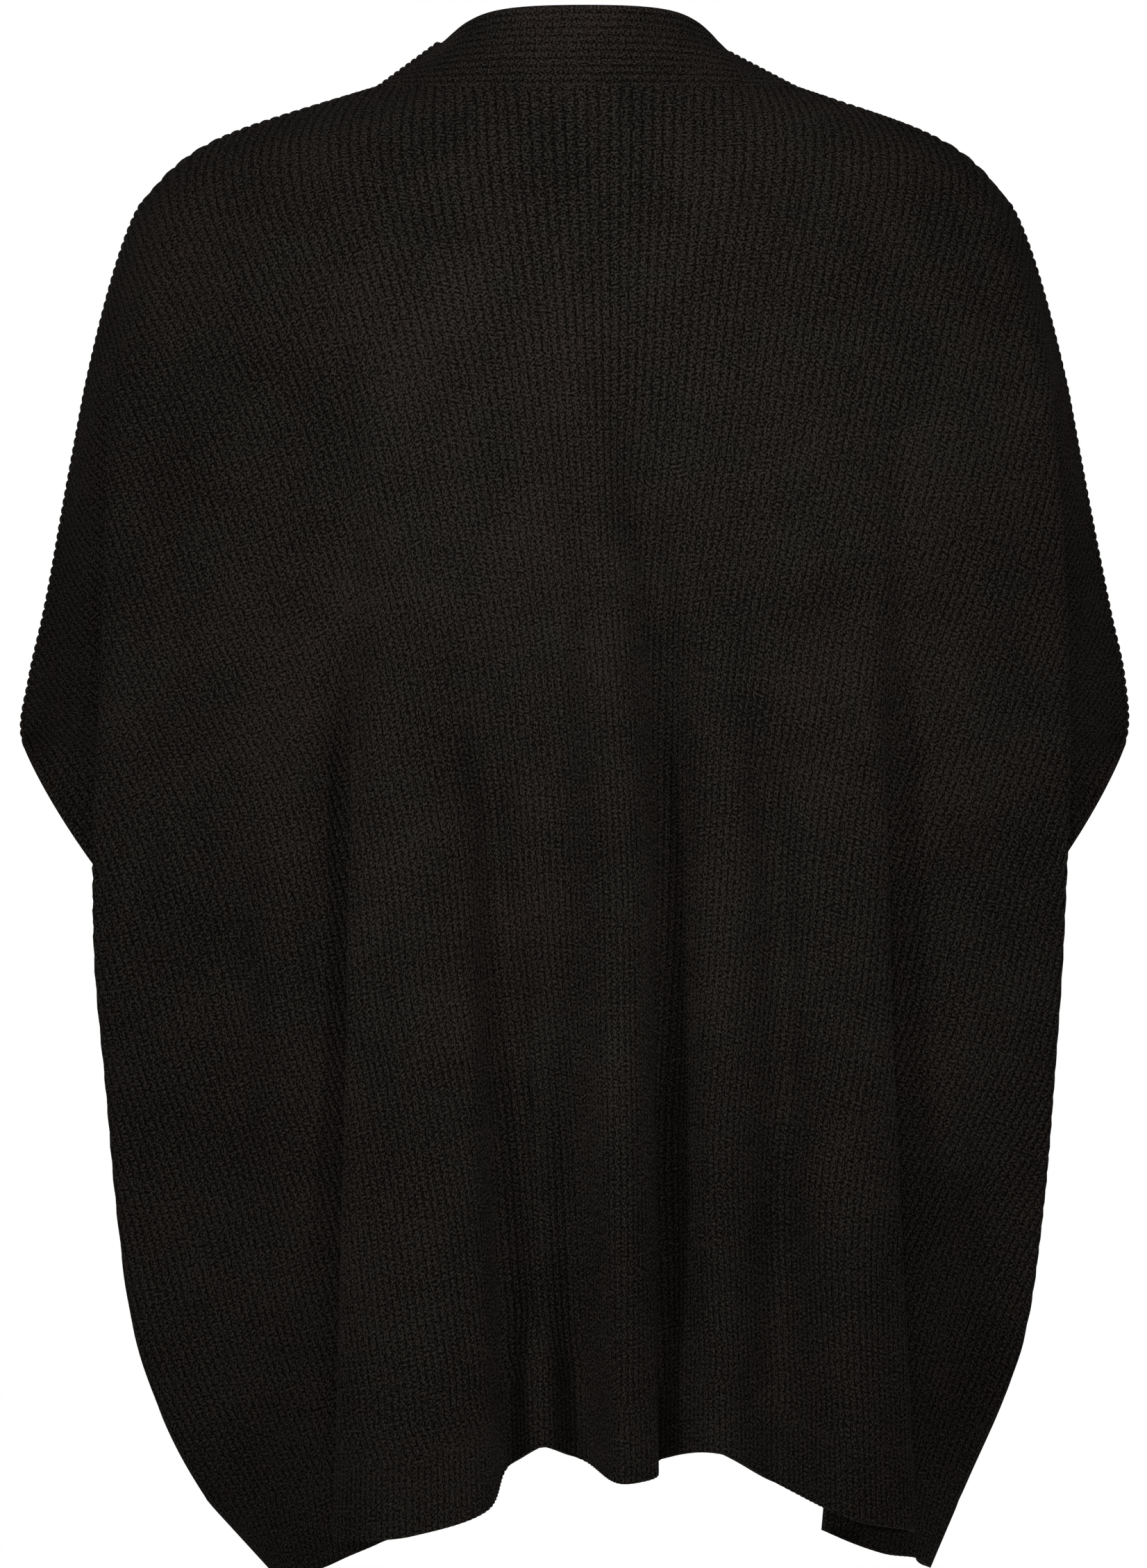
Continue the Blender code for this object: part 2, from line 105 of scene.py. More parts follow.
# Levels of the hanging cloth, seen from above. edge: where the drape turns under at the side. valley: how
# far in that turn goes, below the arm. arm: the back of the sleeve. outer: the seam over the arm and, under
# the armhole, at the side. back and front: depth of the cloth at the middle.
SECTION_COLUMNS = (
    "drop edge_left edge_right edge_y valley_x valley_y arm_x arm_y outer_left outer_right outer_y"
    " back_y front_y"
).split()
SECTIONS = np.array(
    [
        (0.00, 254.0, 248.0, 45.0, 258.0, 36.0, 266.0, 20.0, 272.0, 261.0, -4.0, 108.0, -100.0),
        (0.09, 256.0, 252.0, 55.0, 241.0, 45.0, 265.0, 29.0, 282.0, 271.0, -5.0, 114.0, -120.0),
        (0.20, 258.0, 256.0, 62.0, 218.0, 47.0, 264.0, 36.0, 294.0, 284.0, -6.0, 117.0, -130.0),
        (0.26, 259.0, 256.5, 65.0, 208.0, 47.0, 263.0, 38.5, 302.0, 291.5, -6.5, 118.0, -132.5),
        (0.314, 260.5, 257.0, 67.0, 200.0, 46.0, 262.0, 40.0, 306.0, 292.5, -7.0, 118.0, -134.0),
        (0.422, 262.5, 255.0, 69.0, 196.0, 45.0, 236.0, 43.0, 260.0, 247.0, -8.0, 118.0, -134.0),
        (0.53, 261.0, 252.0, 68.0, 222.0, 38.0, 218.0, 13.0, 215.0, 206.0, -8.0, 118.0, -132.0),
        (0.62, 256.0, 248.5, 65.0, 231.0, 38.0, 222.0, 13.0, 218.0, 209.0, -8.0, 117.0, -130.0),
        (0.74, 250.0, 243.0, 59.0, 233.0, 35.0, 224.0, 11.0, 220.0, 211.0, -8.0, 115.0, -128.0),
        (0.87, 238.0, 231.0, 50.0, 227.0, 31.0, 220.0, 9.0, 217.0, 209.0, -8.0, 113.0, -126.0),
        (1.00, 203.0, 199.0, 39.0, 199.0, 24.0, 197.0, 7.0, 196.0, 192.0, -7.0, 111.0, -124.0),
        (1.07, 170.0, 184.0, 31.0, 168.0, 19.0, 167.0, 6.0, 167.0, 181.0, -6.0, 110.0, -122.0),
    ]
)

# Ridges and troughs that run down the cloth. x_top: where one starts on the neck and shoulder line. x_yoke,
# x_mid, x_hem: its place at the yoke's lower edge, where the folds are full, and at the hem. y_mid, y_hem:
# its depth there. z_hem: the hem's height.
Fold = namedtuple("Fold", "name x_top x_yoke x_mid x_hem y_mid y_hem z_hem")
BACK_FOLDS = (
    Fold("side_left_outer", 172, 226, 226, 158, 86, 56, -796),
    Fold("side_left_trough", 143, 188, 187, 143, 96, 70, -794),
    Fold("side_left_ridge", NECK_HALF_WIDTH, 156, 155, 126, 110, 79, -786),
    Fold("left_flute_turn", 100, 134, 117, 107, 100, 84, -777),
    Fold("left_flute_edge", 88, 120, 126, 133, 114, 110, -775),
    Fold("left_flute_ridge", 70, 90, 93, 90, 128, 150, -768),
    Fold("left_flute_wall", 52, 66, 62, 52, 124, 128, -757),
    Fold("second_trough", 38, 48, 50, 40, 114, 92, -736),
    Fold("second_ridge", 24, 30, 31, 24, 119, 106, -726),
    Fold("third_trough", 10, 12, 12, 5, 115, 88, -733),
    Fold("middle_ridge", -5, -8, -18, -22, 130, 140, -742),
    Fold("middle_edge", -18, -22, -31, -36, 124, 126, -740),
    Fold("middle_turn", -30, -36, -39, -37, 113, 101, -734),
    Fold("fourth_ridge", -48, -62, -68, -70, 124, 134, -727),
    Fold("fourth_trough", -68, -96, -97, -101, 119, 112, -745),
    Fold("right_flute_ridge", -86, -128, -132, -137, 122, 142, -760),
    Fold("right_flute_edge", -100, -152, -160, -173, 108, 106, -770),
    Fold("right_flute_turn", -NECK_HALF_WIDTH, -166, -150, -127, 94, 82, -772),
    Fold("side_right_trough", -138, -200, -205, -158, 92, 66, -786),
    Fold("side_right_outer", -163, -226, -232, -176, 80, 50, -790),
)
FRONT_FOLDS = {
    1: (
        Fold("side_trough", 182, 222, 222, 160, -104, -66, -790),
        Fold("side_ridge", 162, 190, 188, 150, -122, -96, -778),
        Fold("middle_trough", 143, 162, 158, 136, -118, -98, -766),
        Fold("middle_ridge", 127, 132, 128, 118, -131, -124, -752),
        Fold("front_edge", NECK_HALF_WIDTH, 101, 97, 94, -128, -122, -742),
    ),
    -1: (
        Fold("side_trough", -173, -216, -218, -166, -106, -68, -788),
        Fold("side_ridge", -156, -186, -182, -150, -121, -92, -776),
        Fold("middle_trough", -140, -158, -152, -132, -120, -104, -764),
        Fold("middle_ridge", -126, -130, -125, -114, -130, -120, -750),
        Fold("front_edge", -NECK_HALF_WIDTH, -101, -97, -94, -128, -123, -740),
    ),
}
SIDE_LINES = ("edge", "valley", "arm", "outer")
SIDE_TOPS = {1: (200.0, 214.0, 226.0, TIP[1]), -1: (190.0, 203.0, 215.0, TIP[-1])}
CENTRE_RIB_LINE = "middle_ridge"
CENTRE_RIB_REACHES_LINE = 0.5

# Ribs of the body. PITCH: width of a rib along the cloth at a level, where 0 is the top and 1 the hem seam.
# CENTRE_CLOSER: the share by which the ribs are closer at the centre and wider apart at the sides.
# FLANK_PITCH: the same width between the drape's edge and the seam over the arm, at FLANK_LEVELS.
# RIB_PLACES: the mesh's columns across one rib, of any knit. RIB_RELIEF: how far each is raised on the body.
PITCH_LEVELS = (0.0, 0.2, 0.42, 0.7, 1.0)
PITCH = (5.5, 4.6, 3.98, 3.95, 3.75)
CENTRE_CLOSER = (-0.08, 0.02, 0.12, 0.12, 0.05)
FLANK_LEVELS = (0.0, 0.2, 0.45)
FLANK_PITCH = (5.0, 6.2, 7.6)
RIBS_TO_FRONT_EDGE = 21.0
RIBS_TO_TIP = 42.0
ARM_SEAM_PITCH = 4.7
RIB_SMOOTHING = 0.05
RIB_PLACES = (0.0, 0.2, 0.5, 0.8)
RIB_RELIEF = (-0.62, 0.0, 0.28, 0.0)
STITCH_LENGTH = 2.2

# Hem and band ribs
HEM_RIB_PITCH = 3.5
HEM_RELIEF = (-0.35, 0.2, 0.45, 0.2)
HEM_ROWS = 10
BAND_RELIEF = (0.0, 0.6, 0.85, 0.6)

# Fineness of the forms and shells. YOKE_LEVEL: the level of the yoke's lower edge, where the drop is 0.
YOKE_LEVEL = 0.2
YOKE_SAMPLES = 34
HANG_SAMPLES = 150
ARMHOLE_SAMPLES = 41
NECK_SAMPLES = 121
SAMPLES_BETWEEN_LINES = 24
SMOOTHING = 0.016
BACK_ROWS = 103
FRONT_ROWS = 91
INNER_ROW_STEP = 2
INNER_COLUMN_STEP = 4

# Creases that lie on the larger folds. height: how far the cloth stands out (or, under 0, sinks in) along
# the line through the points, which are (x, z). way: whether the line runs down the cloth or across it.
Crease = namedtuple("Crease", "height width way points")
BACK_CREASES = (
    Crease(-7.0, 10, "down", ((140, -90), (131, -180), (126, -280), (127, -370), (131, -460))),
    Crease(-4.0, 22, "down", ((166, -90), (160, -200), (158, -290), (160, -390))),
    Crease(4.0, 16, "down", ((98, -210), (90, -300), (88, -420), (90, -540))),
    Crease(-5.0, 10, "down", ((70, -250), (57, -340), (47, -450), (43, -540), (38, -700))),
    Crease(-10.0, 13, "down", ((34, -400), (31, -500), (29, -640), (23, -780))),
    Crease(4.5, 13, "down", ((20, -340), (17, -400), (13, -500), (10, -640), (4, -780))),
    Crease(11.5, 16, "down", ((16, -70), (5, -160), (-6, -270), (-12, -370), (-14, -530), (-18, -730))),
    Crease(-9.0, 10, "down", ((-16, -150), (-34, -260), (-42, -370), (-44, -530), (-46, -735))),
    Crease(3.5, 15, "down", ((-66, -200), (-72, -300), (-73, -460), (-70, -660))),
    Crease(-8.0, 10, "down", ((-80, -290), (-95, -390), (-103, -482), (-103, -590), (-100, -720))),
    Crease(2.5, 14, "down", ((-134, -240), (-140, -400), (-144, -600), (-146, -740))),
    Crease(-5.0, 10, "down", ((-158, -150), (-167, -220), (-168, -300), (-171, -400))),
    Crease(-3.0, 18, "down", ((-180, -110), (-190, -220), (-192, -400))),
    Crease(-3.2, 6, "across", ((-255, -441), (-215, -415), (-172, -391))),
    Crease(-2.6, 5, "across", ((-236, -462), (-206, -440), (-174, -411))),
    Crease(-4.0, 16, "down", ((194, -390), (187, -530), (192, -680))),
    Crease(3.0, 14, "down", ((164, -380), (160, -470), (160, -560))),
    Crease(3.0, 15, "across", ((20, -112), (80, -98), (130, -80), (190, -66))),
    Crease(3.0, 16, "across", ((-112, -80), (-80, -92), (-30, -116))),
    Crease(-1.8, 10, "down", ((228, -260), (232, -400), (222, -560))),
    Crease(-2.0, 11, "down", ((-214, -470), (-208, -600), (-196, -700))),
)
FRONT_CREASES = (
    Crease(-3.0, 13, "down", ((196, -150), (188, -290), (184, -420))),
    Crease(2.5, 12, "down", ((150, -80), (166, -170), (172, -260))),
    Crease(-2.6, 9, "down", ((122, -250), (116, -400), (114, -570))),
    Crease(2.8, 8, "down", ((143, -360), (140, -520), (138, -680))),
    Crease(2.4, 12, "down", ((212, -410), (208, -560), (200, -700))),
    Crease(-2.0, 6, "across", ((176, -420), (212, -436), (246, -462))),
    Crease(-3.0, 12, "down", ((-190, -140), (-184, -270), (-180, -400))),
    Crease(2.6, 13, "down", ((-146, -86), (-162, -160), (-168, -250))),
    Crease(-2.4, 9, "down", ((-118, -280), (-112, -430), (-112, -600))),
    Crease(2.6, 8, "down", ((-139, -400), (-137, -540), (-134, -690))),
    Crease(2.2, 11, "down", ((-206, -430), (-202, -570), (-196, -700))),
)

# Share of a crease's length over which each end fades, the roundness of its section, and its way to the hem
# seam over which it fades too
CREASE_FADE = 0.28
CREASE_SHAPE = 2.1
CREASE_CLEAR = 36.0

# Noise patterns: cells for each unit of its coordinates, octaves and roughness
Noise = namedtuple("Noise", "scale detail roughness")
COURSE_DRIFT = Noise(45.0, 2.0, 0.5)
GRAIN = Noise(1.0, 2.0, 0.72)
FIBRES = Noise(2300.0, 2.0, 0.7)
MOTTLE = Noise(26.0, 5.0, 0.72)
PATCHES = Noise(9.0, 1.0, 0.5)
HUE = Noise(15.0, 6.0, 0.8)

# Stitches: how far the courses waver and slant, in stitches, and the shapes of a loop and of the painted shade
# in a rib's valley
DRIFT_IN_COURSE = 0.9
SLANT_IN_COURSE = 0.6
LOOP_ROUNDNESS = 1.6
VALLEY_PAINTED_SHADE_STEEPNESS = 3.0

# Melange yarn: the share of light fibres varies about a middle, by the contrast of each pattern
YARN_DARK = (0.0025, 0.0021, 0.0019, 1.0)
YARN_GREY = (0.0388, 0.0362, 0.0308, 1.0)
YARN_BROWN = (0.0465, 0.0358, 0.0318, 1.0)
GRAIN_MIDDLE = 0.335
GRAIN_CONTRAST = 6.8
RIB_IN_GRAIN = 4.4
STITCH_IN_GRAIN = 1.6
FIBRE_CONTRAST = 1.7
STITCH_CONTRAST = 0.42
STITCH_MIDDLE = 0.4
MOTTLE_CONTRAST = 0.7
PATCH_CONTRAST = 0.45
HUE_MIDDLE = 0.5
HUE_CONTRAST = 3.6
# Painted shade: how far the colour darkens in each rib's valley, where shade falls between the ribs
VALLEY_PAINTED_SHADE = 0.26

# Bump under the mesh's detail, and the dull surface of brushed yarn
GRAIN_BUMP = 1.1
FIBRE_BUMP = 0.5
BUMP_STRENGTH = 0.62
BUMP_DISTANCE = 0.0007
YARN_ROUGHNESS = 0.95
YARN_SPECULAR = 0.04

# Each knit's rib bump and stitch bump, outside, where the ribs are in the mesh, and inside
KNIT_BUMPS = {
    "body_knit": (0.0, 0.9),
    "body_knit_inside": (1.4, 0.8),
    "hem_knit": (0.0, 0.7),
    "hem_knit_inside": (1.2, 0.7),
    "band_knit": (0.0, 0.8),
    "band_knit_inside": (1.3, 0.8),
}

# Photograph's view: a long lens, level, at the middle of the garment's height
CAMERA_DISTANCE = 4.0
CAMERA_X = 0.007
CAMERA_Z = -0.377
FRAME_HEIGHT = 0.847
SENSOR_HEIGHT = 36.0

# White surround. SIDES_LIGHT: its light on the cloth from the sides, which grows to WALLS_LIGHT behind and in
# front, between the two values of WALLS_START along Y. The floor glows, and adds no light to the cloth.
WHITE = (1.0, 1.0, 1.0, 1.0)
WALLS_LIGHT = 1.0
SIDES_LIGHT = 0.16
WALLS_START = (0.94, 0.985)
FLOOR_Z = -1.40
FLOOR_HALF = 5.0
FLOOR_GLOW = 0.68
FLOOR_COLOUR = (0.86, 0.86, 0.86, 1.0)
FLOOR_ROUGHNESS = 0.9

# Lamps, in metres, degrees and watts. stretch: the cone's shape, across and up.
Spot = namedtuple("Spot", "name place target radius power cone stretch")
TALL_CONE = (0.85, 2.0, 1.0)
ROUND_CONE = (1.0, 1.0, 1.0)
SHOULDER_BLADES = (0.0, 0.1, -0.24)
SPOTS = (
    Spot("key_left", (1.65, 1.85, 0.35), SHOULDER_BLADES, 0.25, 85.0, 20.4, TALL_CONE),
    Spot("key_right", (-1.65, 1.85, 0.35), SHOULDER_BLADES, 0.25, 73.0, 20.4, TALL_CONE),
    Spot("centre", (0.1, 2.2, 0.4), SHOULDER_BLADES, 0.15, 42.0, 20.4, TALL_CONE),
    Spot("sleeve_left", (2.4, 0.9, 0.1), (0.28, 0.02, -0.27), 0.3, 15.0, 11.0, ROUND_CONE),
    Spot("sleeve_right", (-2.4, 0.9, 0.1), (-0.28, 0.02, -0.25), 0.3, 13.0, 12.0, ROUND_CONE),
)
LightPanel = namedtuple("LightPanel", "name place target size power")
LIGHT_PANELS = (
    LightPanel("top", (0.4, 0.9, 1.5), (0.0, 0.05, -0.1), 1.2, 3.0),
    LightPanel("front_fill", (0.2, -2.6, 0.1), (0.0, 0.0, -0.3), 1.6, 25.0),
)


def unit(vectors):
    return vectors / np.linalg.norm(vectors, axis=-1, keepdims=True)


def ease(amount):
    amount = np.clip(amount, 0.0, 1.0)
    return amount * amount * (3.0 - 2.0 * amount)


def bell(gap, width):
    return np.exp(-0.5 * (gap / width) ** 2)


def spline(knots, points, at):
    """The smooth curve that goes through points at knots, read at other knots."""
    column = (-1,) + (1,) * (points.ndim - 1)
    step = np.diff(knots).reshape(column)
    rate = np.diff(points, axis=0) / step
    inner = (rate[:-1] * step[1:] + rate[1:] * step[:-1]) / (step[:-1] + step[1:])
    slope = np.concatenate([rate[:1], inner, rate[-1:]])
    span = np.clip(np.searchsorted(knots, at, side="right") - 1, 0, len(knots) - 2)
    width = step[span]
    t = (np.asarray(at) - knots[span]).reshape(column) / width
    start, end = points[span], points[span + 1]
    bend_start = slope[span] * width
    bend_end = slope[span + 1] * width
    return (
        (1 + 2 * t) * (1 - t) ** 2 * start
        + t * (1 - t) ** 2 * bend_start
        + t * t * (3 - 2 * t) * end
        + t * t * (t - 1) * bend_end
    )


def lengths(points):
    """Distance along a line of points from its first one."""
    return np.concatenate([[0.0], np.cumsum(np.linalg.norm(np.diff(points, axis=0), axis=1))])


def along_line(points, measure, at):
    """Points of a line where a measure that grows along it has the given values."""
    return np.stack([np.interp(at, measure, points[:, k]) for k in range(3)], axis=-1)


# ---------------------------------------------------------------- form of the cloth, as in the solids


def section(column, drop):
    """A value of the table of sections at any drop."""
    values = SECTIONS[:, SECTION_COLUMNS.index(column)]
    return float(spline(SECTIONS[:, 0], values, np.array([drop]))[0])


def top_line(x):
    """Neck seam between the shoulders, and the shoulder line beyond."""
    reach = np.abs(x)
    neck = np.clip(reach / NECK_HALF_WIDTH, 0.0, 1.0)
    round_neck = 1.0 - neck**NECK_ROUNDNESS
    tip = np.where(x > 0, TIP[1], TIP[-1])
    length = TIP[1] - NECK_HALF_WIDTH
    along = np.clip((reach - NECK_HALF_WIDTH) / (tip - NECK_HALF_WIDTH), 0.0, 1.0)
    z = -SHOULDER_SLOPE * length * along - TIP_DROP * along**TIP_ROUNDNESS - NECK_BACK_DROP * round_neck
    return np.stack([x, NECK_BACK_DEPTH * round_neck, z], axis=-1)


def armhole_edge(drop, side):
    """Where the sleeve's end lies, from the arm seam's end to the armpit."""
    column = "outer_left" if side > 0 else "outer_right"
    start, end = section(column, SLEEVE_END_DROP), section(column, UNDERARM_DROP)
    along = (drop - SLEEVE_END_DROP) / (UNDERARM_DROP - SLEEVE_END_DROP)
    x = start + (end - start) * along + ARMHOLE_CONVEXITY * 4.0 * along * (1.0 - along)
    y = section("outer_y", drop) + ARMHOLE_BULGE * 2.0 * np.sqrt(along * (1.0 - along))
    return x, y


def side_line(name, drop, side, face):
    """A point of one of the lines at the side, which the back and the front have in common at the seam."""
    edge_shift = section("edge_left", drop) - section("edge_right", drop)
    outer_shift = section("outer_left", drop) - section("outer_right", drop)
    seam_y = section("outer_y", drop)
    if name == "edge":
        x, y, shift = section("edge_left", drop), section("edge_y", drop), edge_shift
    elif name == "valley":
        x, y, shift = section("valley_x", drop), section("valley_y", drop), edge_shift
    elif name == "arm":
        x, y, shift = section("arm_x", drop), section("arm_y", drop), outer_shift
    else:
        x, y, shift = section("outer_left", drop), seam_y, outer_shift
    if side < 0:
        x -= shift
    if name == "outer" and SLEEVE_END_DROP < drop < UNDERARM_DROP:
        x, y = armhole_edge(drop, side)
    z = -YOKE_SIDE - (SIDE_HEM_SEAM - YOKE_SIDE) * drop
    if drop > 1.0:
        z = -SIDE_HEM
    return np.array([side * x, seam_y + face * (y - seam_y), z])


def drape(x, drop, face):
    """Depth of the cloth without its folds."""
    edge_x = section("edge_left" if x > 0 else "edge_right", drop)
    edge = side_line("edge", drop, 1, face)[1]
    middle = section("back_y" if face > 0 else "front_y", drop)
    arch = 1.0 - min(abs(x) / edge_x, 1.0) ** PROFILE_ROUNDNESS
    return edge + (middle - edge) * arch


def fold_line(fold, drop, face):
    """A point of a fold, which grows out of the plain drape below the yoke."""
    yoke_z = -YOKE_CENTRE - (YOKE_SIDE - YOKE_CENTRE) * (fold.x_yoke / section("edge_left", 0.0)) ** 2
    if fold.name == "front_edge":
        yoke_z = -YOKE_FRONT_EDGE
    hem_seam_z = fold.z_hem + HEM_DEPTH
    z = fold.z_hem if drop > 1.0 else yoke_z + (hem_seam_z - yoke_z) * drop
    plain = np.array([fold.x_yoke, drape(fold.x_yoke, drop, face), z])
    fall = max(0.0, (drop - FOLDS_FULL) / (HEM_DROP - FOLDS_FULL))
    x = fold.x_mid + (fold.x_hem - fold.x_mid) * fall
    y = fold.y_mid + (fold.y_hem - fold.y_mid) * fall
    grown = ease((drop - FOLDS_START) / (FOLDS_FULL - FOLDS_START))
    return plain + (np.array([x, y, z]) - plain) * grown


def control_row(folds, sides, drop, face):
    """Points of all lines at a drop, from the wearer's left to the right."""
    row = [fold_line(fold, drop, face) for fold in folds]
    for side in sides:
        flank = [side_line(name, drop, side, face) for name in SIDE_LINES]
        row = flank[::-1] + row if side > 0 else row + flank
    return np.array(row)


def yoke_row(top, hang, part, face):
    """The cloth a part of the way from the top line to the yoke's lower edge, bent over neck and shoulders."""
    arm = ease((np.abs(top[:, 0]) / NECK_HALF_WIDTH - ARM_STARTS) / (ARM_FULL - ARM_STARTS))
    if face < 0:
        arm = np.ones(len(top))
    roundness = NECK_TO_BACK_ROUNDNESS + (OVER_ARM_ROUNDNESS - NECK_TO_BACK_ROUNDNESS) * arm
    outward = (1.0 - (1.0 - part) ** roundness) ** (1.0 / (1.0 + arm))
    row = top + (hang - top) * part
    row[:, 0] = top[:, 0] + (hang[:, 0] - top[:, 0]) * part**ARM_BULGE
    row[:, 1] = top[:, 1] + (hang[:, 1] - top[:, 1]) * outward
    return row


# ---------------------------------------------------------------- the same form, sampled closely


def fine_row(control, lines):
    """A row's curve, read at places counted in its control lines."""
    length = lengths(control)
    return spline(length, control, np.interp(lines, np.arange(len(control)), length))


def hem_curve(folds, sides, drop, face, lines):
    return fine_row(control_row(folds, sides, drop, face), lines)


def smoothed(levels, rows, hold):
    """Evens out the rows along each line but for the held share, so that no level shows as a kink."""
    here, there, step = levels[:, None], levels[None, :], np.gradient(levels)[None, :]
    weight = bell(here - there, SMOOTHING) * step
    mirror = bell(here + there, SMOOTHING) * step
    far = bell(2.0 - here - there, SMOOTHING) * step
    total = (weight + mirror + far).sum(axis=1)[:, None, None]
    even = np.einsum("ij,jkl->ikl", weight, rows)
    even += np.einsum("ij,jkl->ikl", mirror, 2.0 * rows[:1] - rows)
    even += np.einsum("ij,jkl->ikl", far, 2.0 * rows[-1:] - rows)
    even /= total
    return even + (rows - even) * hold[None, :, None]


def form(folds, sides, face):
    """Levels from 0 at the top to 1 at the hem seam, places across in lines, and the points there."""
    count = len(folds) + len(SIDE_LINES) * len(sides)
    lines = np.arange((count - 1) * SAMPLES_BETWEEN_LINES + 1) / SAMPLES_BETWEEN_LINES
    drops = np.linspace(0.0, 1.0, HANG_SAMPLES + 1)
    armhole = np.linspace(0.0, np.pi, ARMHOLE_SAMPLES)
    armhole = SLEEVE_END_DROP + (UNDERARM_DROP - SLEEVE_END_DROP) * (1.0 - np.cos(armhole)) / 2.0
    drops = np.union1d(np.round(drops, 6), np.round(armhole, 6))
    hanging = [fine_row(control_row(folds, sides, drop, face), lines) for drop in drops]
    tops = [fold.x_top for fold in folds]
    for side in sides:
        flank = [side * x for x in SIDE_TOPS[side]]
        tops = flank[::-1] + tops if side > 0 else tops + flank
    top = top_line(np.interp(lines, np.arange(count), np.array(tops, float)))
    parts = np.linspace(0.0, 1.0, YOKE_SAMPLES, endpoint=False)
    rows = np.array([yoke_row(top, hanging[0], part, face) for part in parts] + hanging)
    levels = np.concatenate([parts * YOKE_LEVEL, YOKE_LEVEL + (1.0 - YOKE_LEVEL) * drops])
    to_seam = np.full(len(lines), np.inf)
    for side in sides:
        seam = 0.0 if side > 0 else lines[-1]
        to_seam = np.minimum(to_seam, np.abs(lines - seam))
    hold = 1.0 - ease(to_seam)
    rows[1:-1] = smoothed(levels, rows, hold)[1:-1]
    return levels, lines, rows


def ribs_at_seam(levels, seam):
    """How many ribs lie between the centre and the seam over the arm, at each level."""
    length = lengths(seam)
    end_level = YOKE_LEVEL + (1.0 - YOKE_LEVEL) * SLEEVE_END_DROP
    end = np.interp(end_level, levels, length)
    more = round(RIBS_TO_TIP + end / ARM_SEAM_PITCH) - RIBS_TO_TIP
    return RIBS_TO_TIP + more * np.minimum(length / end, 1.0)


def evened(levels, values, width):
    """Values over the levels, blurred."""
    weight = bell(levels[:, None] - levels[None, :], width) * np.gradient(levels)[None, :]
    return (weight @ values) / weight.sum(axis=1)


def centre_places(levels, lines, rows, folds):
    """Where the centre rib runs, in lines: it starts at the middle of the neck and joins a ridge."""
    names = [fold.name for fold in folds]
    line = len(SIDE_LINES) + names.index(CENTRE_RIB_LINE)
    top = np.interp(0.0, rows[0, ::-1, 0], lines[::-1])
    return top + (line - top) * ease(levels / CENTRE_RIB_REACHES_LINE)


def rib_numbers(levels, lines, rows, folds, sides):
    """The number of the rib at each point of a form: 0 at the centre, growing to the left."""
    seams = {side: ribs_at_seam(levels, rows[:, 0 if side > 0 else -1]) for side in sides}
    length = np.array([lengths(row) for row in rows])
    flank = len(SIDE_LINES) - 1
    pitch = np.interp(levels, PITCH_LEVELS, PITCH)
    flank_pitch = np.interp(levels, FLANK_LEVELS, FLANK_PITCH)
    if len(sides) == 2:
        start = centre_places(levels, lines, rows, folds)
        start = np.array([np.interp(place, lines, row) for place, row in zip(start, length)])
        first = 0.0
    else:
        start = length[:, -1] if sides[0] > 0 else length[:, 0]
        first = RIBS_TO_FRONT_EDGE
    knots, counts = [start], [np.full(len(levels), first if sides[0] > 0 else -first)]
    for side in sides:
        edge_line = flank if side > 0 else lines[-1] - flank
        edge = length[:, int(edge_line * SAMPLES_BETWEEN_LINES)]
        seam = length[:, 0 if side > 0 else -1]
        at_edge = first + np.abs(edge - start) / pitch
        at_edge = np.minimum(at_edge, seams[side] - np.abs(edge - seam) / flank_pitch)
        at_edge = evened(levels, at_edge, RIB_SMOOTHING)
        if side > 0:
            knots, counts = [seam, edge] + knots, [seams[side], at_edge] + counts
        else:
            knots, counts = knots + [edge, seam], counts + [-at_edge, -seams[side]]
    knots, counts = np.array(knots), np.array(counts)
    numbers = np.array([np.interp(length[i], knots[:, i], counts[:, i]) for i in range(len(levels))])
    if len(sides) == 2:
        closer = np.interp(levels, PITCH_LEVELS, CENTRE_CLOSER)[:, None]
        for k, side in ((1, 1), (3, -1)):
            share = np.clip(numbers / counts[k][:, None], 0.0, 1.0)
            numbers += side * np.abs(counts[k][:, None]) * closer * share * (1.0 - share)
    return numbers, seams


def ribbed_columns(first, last, relief):
    """Rib numbers of the columns between two whole ribs, with each column's relief."""
    ribs = np.arange(first, last)
    columns = (ribs[:, None] + np.array(RIB_PLACES)[None, :]).ravel()
    return np.append(columns, last), np.append(np.tile(relief, len(ribs)), relief[0])


def rib_grid(levels, rows, numbers, seams, sides, row_count):
    """Points of a panel in columns that follow its ribs from the upper seam down to the hem seam."""
    front_edge = int(RIBS_TO_FRONT_EDGE)
    low = -int(seams[-1][-1]) if -1 in sides else front_edge
    high = int(seams[1][-1]) if 1 in sides else -front_edge
    columns, relief = ribbed_columns(low, high, RIB_RELIEF)
    at_level = np.array([along_line(rows[i, ::-1], numbers[i, ::-1], columns) for i in range(len(levels))])
    grid = np.zeros((row_count, len(columns), 3))
    down = np.zeros((row_count, len(columns)))
    for j, number in enumerate(columns):
        side = (1 if number > 0 else -1) if len(sides) == 2 else sides[0]
        on_seam = np.argmax(seams[side]) + 1
        start = np.interp(abs(number), seams[side][:on_seam], levels[:on_seam])
        line = rows[:, 0 if side > 0 else -1] if start > 0.0 else at_level[:, j]
        first = along_line(line, levels, [start])
        path = np.concatenate([first, at_level[levels > start + 1e-6, j]])
        length = lengths(path)
        wanted = np.linspace(0.0, length[-1], row_count)
        grid[:, j] = along_line(path, length, wanted)
        down[:, j] = length[-1] - wanted
    return grid[:, ::-1], columns[::-1], relief[::-1], down[:, ::-1]


def normals_of(grid, face):
    down = np.gradient(grid, axis=0)
    across = np.gradient(grid, axis=1)
    return face * unit(np.cross(down, across))


